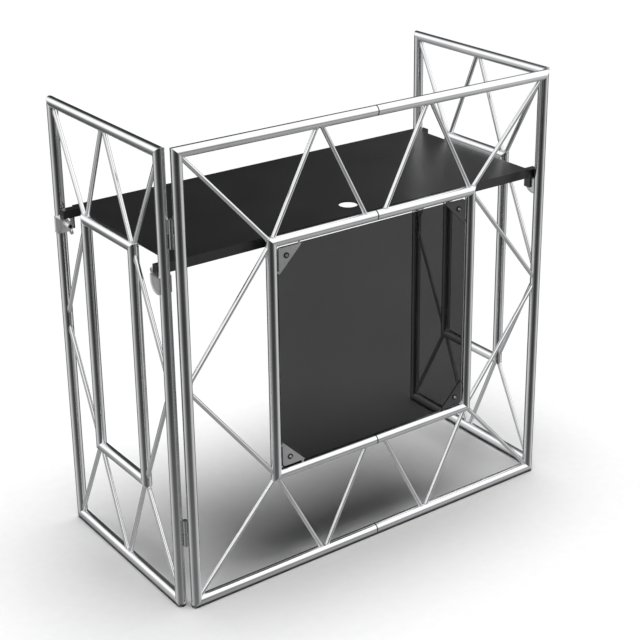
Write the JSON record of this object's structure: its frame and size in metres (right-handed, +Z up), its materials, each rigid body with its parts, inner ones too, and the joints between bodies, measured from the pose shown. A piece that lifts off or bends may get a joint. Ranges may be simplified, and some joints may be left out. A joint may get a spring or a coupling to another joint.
{
  "type": "dj booth",
  "caption": "Folding DJ booth: a braced tube front with a smoked window panel, two hinged wings and a black table resting on clamps that sit on the wing posts.",
  "frame": {"origin": "on the floor, under the middle of the booth's bounding box", "axes": "+X to the right seen from the audience, +Y from the front frame to the operator, +Z up"},
  "size_m": [1.11, 0.531, 1.095],
  "materials": {
    "polished_aluminium": "polished, anodised",
    "dark_aluminium": "dark anodised",
    "cast_aluminium": "cast, tumbled bright",
    "plated_steel": "zinc plated",
    "black_coat": "black powder coat, satin",
    "black_plastic": "moulded, matt",
    "black_rubber": "matt",
    "smoked_acrylic": "polished, tinted, see-through"
  },
  "bodies": {
    "front_frame": {"frame_hinge_knuckles": "polished_aluminium", "front_bottom_rail_left": "polished_aluminium", "front_bottom_rail_right": "polished_aluminium", "front_left_braces": "polished_aluminium", "front_left_post": "polished_aluminium", "front_right_braces": "polished_aluminium", "front_right_post": "polished_aluminium", "front_top_rail_left": "polished_aluminium", "front_top_rail_right": "polished_aluminium", "hinge_pins": "plated_steel", "left_gussets": "polished_aluminium", "panel_screws": "plated_steel", "panel_washers": "black_rubber", "rail_spigots": "polished_aluminium", "right_gussets": "dark_aluminium", "smoked_panel": "smoked_acrylic", "window_bottom_rail_left": "polished_aluminium", "window_bottom_rail_right": "polished_aluminium", "window_left_post": "polished_aluminium", "window_right_post": "polished_aluminium", "window_top_rail_left": "polished_aluminium", "window_top_rail_right": "polished_aluminium"},
    "left_wing": {"left_front_clamp_saddle": "cast_aluminium", "left_front_clamp_stud": "plated_steel", "left_rear_clamp_saddle": "cast_aluminium", "left_rear_clamp_stud": "plated_steel", "left_wing_bottom_rail": "polished_aluminium", "left_wing_braces": "polished_aluminium", "left_wing_front_post": "polished_aluminium", "left_wing_hinge_knuckles": "polished_aluminium", "left_wing_rear_post": "polished_aluminium", "left_wing_top_rail": "polished_aluminium", "left_wing_window_bottom_rail": "polished_aluminium", "left_wing_window_front_post": "polished_aluminium", "left_wing_window_rear_post": "polished_aluminium", "left_wing_window_top_rail": "polished_aluminium"},
    "right_wing": {"right_front_clamp_saddle": "cast_aluminium", "right_front_clamp_stud": "plated_steel", "right_rear_clamp_saddle": "cast_aluminium", "right_rear_clamp_stud": "plated_steel", "right_wing_bottom_rail": "polished_aluminium", "right_wing_braces": "polished_aluminium", "right_wing_front_post": "polished_aluminium", "right_wing_hinge_knuckles": "polished_aluminium", "right_wing_rear_post": "polished_aluminium", "right_wing_top_rail": "polished_aluminium", "right_wing_window_bottom_rail": "polished_aluminium", "right_wing_window_front_post": "polished_aluminium", "right_wing_window_rear_post": "polished_aluminium", "right_wing_window_top_rail": "polished_aluminium"},
    "table": {"bar_end_plugs": "black_plastic", "bar_tabs": "black_coat", "table_front_bar": "black_coat", "table_rear_bar": "black_coat", "tabletop": "black_coat"},
    "left_front_wing_nut": {"left_front_wing_nut": "cast_aluminium"},
    "left_rear_wing_nut": {"left_rear_wing_nut": "cast_aluminium"},
    "right_front_wing_nut": {"right_front_wing_nut": "cast_aluminium"},
    "right_rear_wing_nut": {"right_rear_wing_nut": "cast_aluminium"}
  },
  "joints": [
    {"name": "left_wing_swing", "type": "hinge", "parent": "front_frame", "child": "left_wing", "pos_m": [-0.5265, -0.24, 0.5475], "axis": [0, 0, 1], "range_deg": [0, 90]},
    {"name": "right_wing_swing", "type": "hinge", "parent": "front_frame", "child": "right_wing", "pos_m": [0.5265, -0.24, 0.5475], "axis": [0, 0, -1], "range_deg": [0, 90]},
    {"name": "table_lift", "type": "slide", "parent": "front_frame", "child": "table", "axis": [0, 0, 1], "range_m": [0, 0.15]},
    {"name": "left_front_nut_turn", "type": "hinge", "parent": "left_wing", "child": "left_front_wing_nut", "pos_m": [-0.5395, -0.179, 0.7947], "axis": [0, 1, 0], "continuous": true},
    {"name": "left_rear_nut_turn", "type": "hinge", "parent": "left_wing", "child": "left_rear_wing_nut", "pos_m": [-0.5395, 0.205, 0.7947], "axis": [0, -1, 0], "continuous": true},
    {"name": "right_front_nut_turn", "type": "hinge", "parent": "right_wing", "child": "right_front_wing_nut", "pos_m": [0.5395, -0.179, 0.7947], "axis": [0, 1, 0], "continuous": true},
    {"name": "right_rear_nut_turn", "type": "hinge", "parent": "right_wing", "child": "right_rear_wing_nut", "pos_m": [0.5395, 0.205, 0.7947], "axis": [0, -1, 0], "continuous": true}
  ]
}
